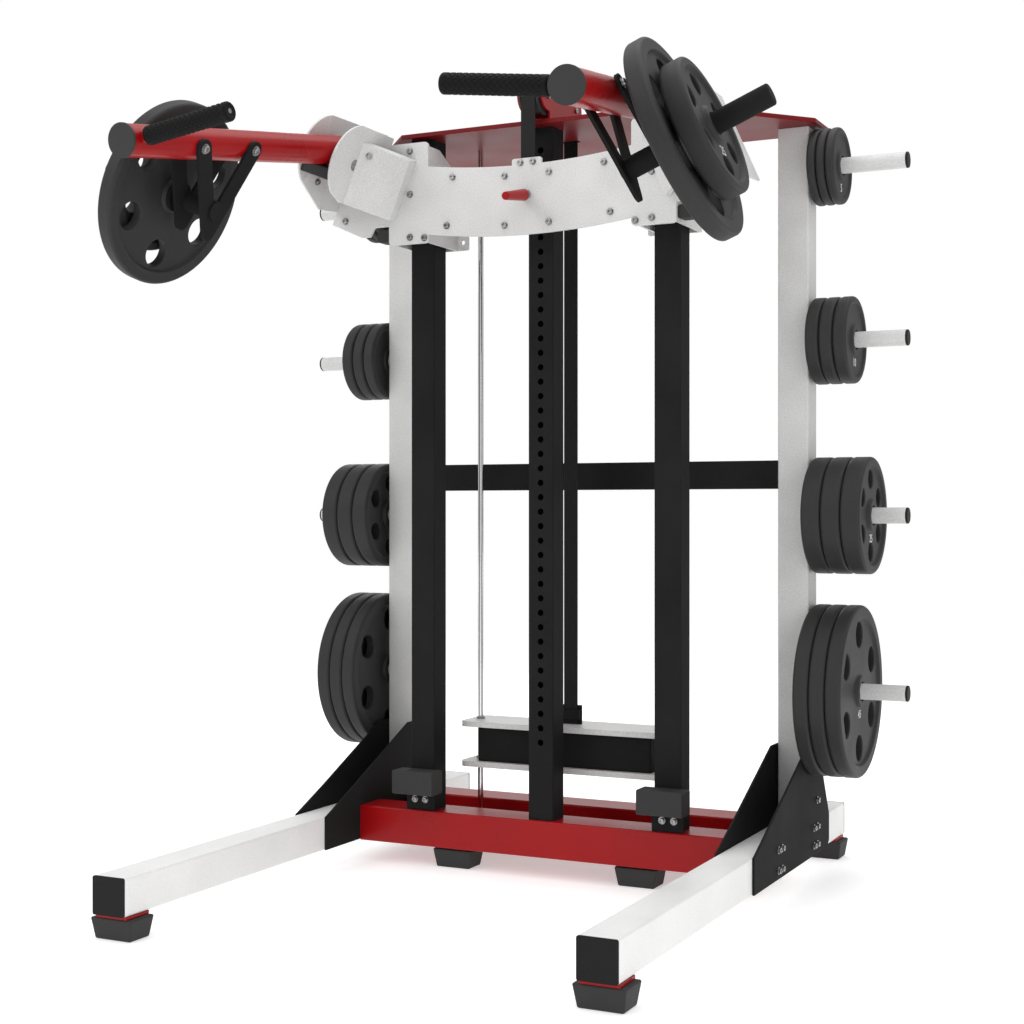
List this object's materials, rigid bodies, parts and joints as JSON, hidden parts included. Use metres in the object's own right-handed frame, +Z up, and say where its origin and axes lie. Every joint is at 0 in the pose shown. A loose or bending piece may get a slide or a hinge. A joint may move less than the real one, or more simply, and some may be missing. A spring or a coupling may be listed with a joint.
{
  "type": "counterbalanced lever-arm trainer",
  "caption": "Plate-loaded standing press trainer: two swinging lever arms on a counterbalanced carriage that slides on posts, with plate storage pegs.",
  "frame": {"origin": "on the floor, at the centre of the whole machine's footprint", "axes": "+Z up, -Y towards the user, +X to the right of a user who faces the machine"},
  "size_m": [1.782, 1.6912, 2.098],
  "materials": {
    "white_paint": "satin powder coat, fine hammer texture",
    "black_paint": "satin powder coat",
    "red_paint": "gloss powder coat",
    "rubber": "matt moulded",
    "black_plastic": "matt",
    "grey_plastic": "matt",
    "bright_steel": "turned and plated",
    "chrome": "polished",
    "plate_rubber": "matt moulded",
    "grip_rubber": "diamond knurl",
    "belt": "ribbed",
    "nylon": "matt"
  },
  "bodies": {
    "frame": {"base_rails": "white_paint", "rail_end_caps": "black_plastic", "foot_spacers": "red_paint", "rubber_feet": "rubber", "tray_beams": "red_paint", "tray_floor": "red_paint", "uprights": "white_paint", "cross_member": "black_paint", "gusset_plates": "black_paint", "guide_posts": "black_paint", "centre_post": "black_paint", "stop_brackets": "black_paint", "stop_bumpers": "rubber", "top_plate": "red_paint", "pulley_bracket": "red_paint", "pulley_axles": "bright_steel", "storage_pegs": "white_paint", "storage_peg_caps": "black_plastic", "extra_large_plates": "plate_rubber", "large_plates": "plate_rubber", "medium_plates": "plate_rubber", "small_plates": "plate_rubber", "guide_rods": "chrome", "belt_top": "belt", "frame_bolts": "bright_steel"},
    "carriage": {"carriage_front_plate": "white_paint", "carriage_boxes": "white_paint", "glide_pads": "nylon", "carriage_bumpers": "rubber", "belt_clamp": "bright_steel", "carriage_bolts": "bright_steel", "pin_barrel": "bright_steel", "arm_housing_inner_cheeks": "white_paint", "arm_housing_outer_cheeks": "white_paint", "arm_housing_webs": "white_paint", "pivot_shafts": "bright_steel", "belt_front": "belt"},
    "pull_pin": {"pull_pin": "red_paint"},
    "arm_right": {"arm_tube_right": "red_paint", "arm_end_cap_right": "grey_plastic", "handle_grip_right": "grip_rubber", "weight_peg_right": "black_paint", "peg_bracket_right": "black_paint", "arm_bolts_right": "bright_steel"},
    "arm_left": {"arm_tube_left": "red_paint", "arm_end_cap_left": "grey_plastic", "handle_grip_left": "grip_rubber", "weight_peg_left": "black_paint", "peg_bracket_left": "black_paint", "arm_bolts_left": "bright_steel"},
    "arm_plates_right": {"arm_plates_right": "plate_rubber"},
    "arm_plates_left": {"arm_plates_left": "plate_rubber"},
    "counterweight": {"counterweight_plates": "white_paint", "counterweight_block": "black_paint", "belt_anchor": "black_paint", "rod_bushes": "bright_steel", "belt_rear": "belt"},
    "pulley_front": {"pulley_front": "grey_plastic"},
    "pulley_rear": {"pulley_rear": "grey_plastic"}
  },
  "joints": [
    {"name": "carriage_slide", "type": "slide", "parent": "frame", "child": "carriage", "axis": [0, 0, 1], "range_m": [-1.33, 0], "deforming": ["belt_front"]},
    {"name": "counterweight_slide", "type": "slide", "parent": "frame", "child": "counterweight", "axis": [0, 0, 1], "range_m": [0, 1.33], "deforming": ["belt_rear"]},
    {"name": "pull_pin_slide", "type": "slide", "parent": "carriage", "child": "pull_pin", "axis": [0, 0.9816, 0.1908], "range_m": [0, 0.013]},
    {"name": "arm_right_swing", "type": "hinge", "parent": "carriage", "child": "arm_right", "pos_m": [0.4836, -0.0264, 1.8932], "axis": [-0.9261, -0.0152, -0.3771], "range_deg": [0, 45]},
    {"name": "arm_left_swing", "type": "hinge", "parent": "carriage", "child": "arm_left", "pos_m": [-0.4836, -0.0264, 1.8932], "axis": [-0.9261, 0.0152, 0.3771], "range_deg": [0, 45]},
    {"name": "arm_plates_right_slide", "type": "slide", "parent": "arm_right", "child": "arm_plates_right", "axis": [0.9261, 0.0152, 0.3771], "range_m": [0, 0.12]},
    {"name": "arm_plates_left_slide", "type": "slide", "parent": "arm_left", "child": "arm_plates_left", "axis": [-0.9261, 0.0152, 0.3771], "range_m": [0, 0.12]},
    {"name": "pulley_front_spin", "type": "hinge", "parent": "frame", "child": "pulley_front", "pos_m": [0, 0.166, 2.048], "axis": [-1, 0, 0], "range_deg": [-1700, 10]},
    {"name": "pulley_rear_spin", "type": "hinge", "parent": "frame", "child": "pulley_rear", "pos_m": [0, 0.344, 2.048], "axis": [-1, 0, 0], "range_deg": [-1700, 10]}
  ],
  "couplings": [
    {"joint": "counterweight_slide", "follows": "carriage_slide", "ratio": -1},
    {"joint": "pulley_front_spin", "follows": "carriage_slide", "rad_per_m": 21.552},
    {"joint": "pulley_rear_spin", "follows": "carriage_slide", "rad_per_m": 21.552}
  ]
}
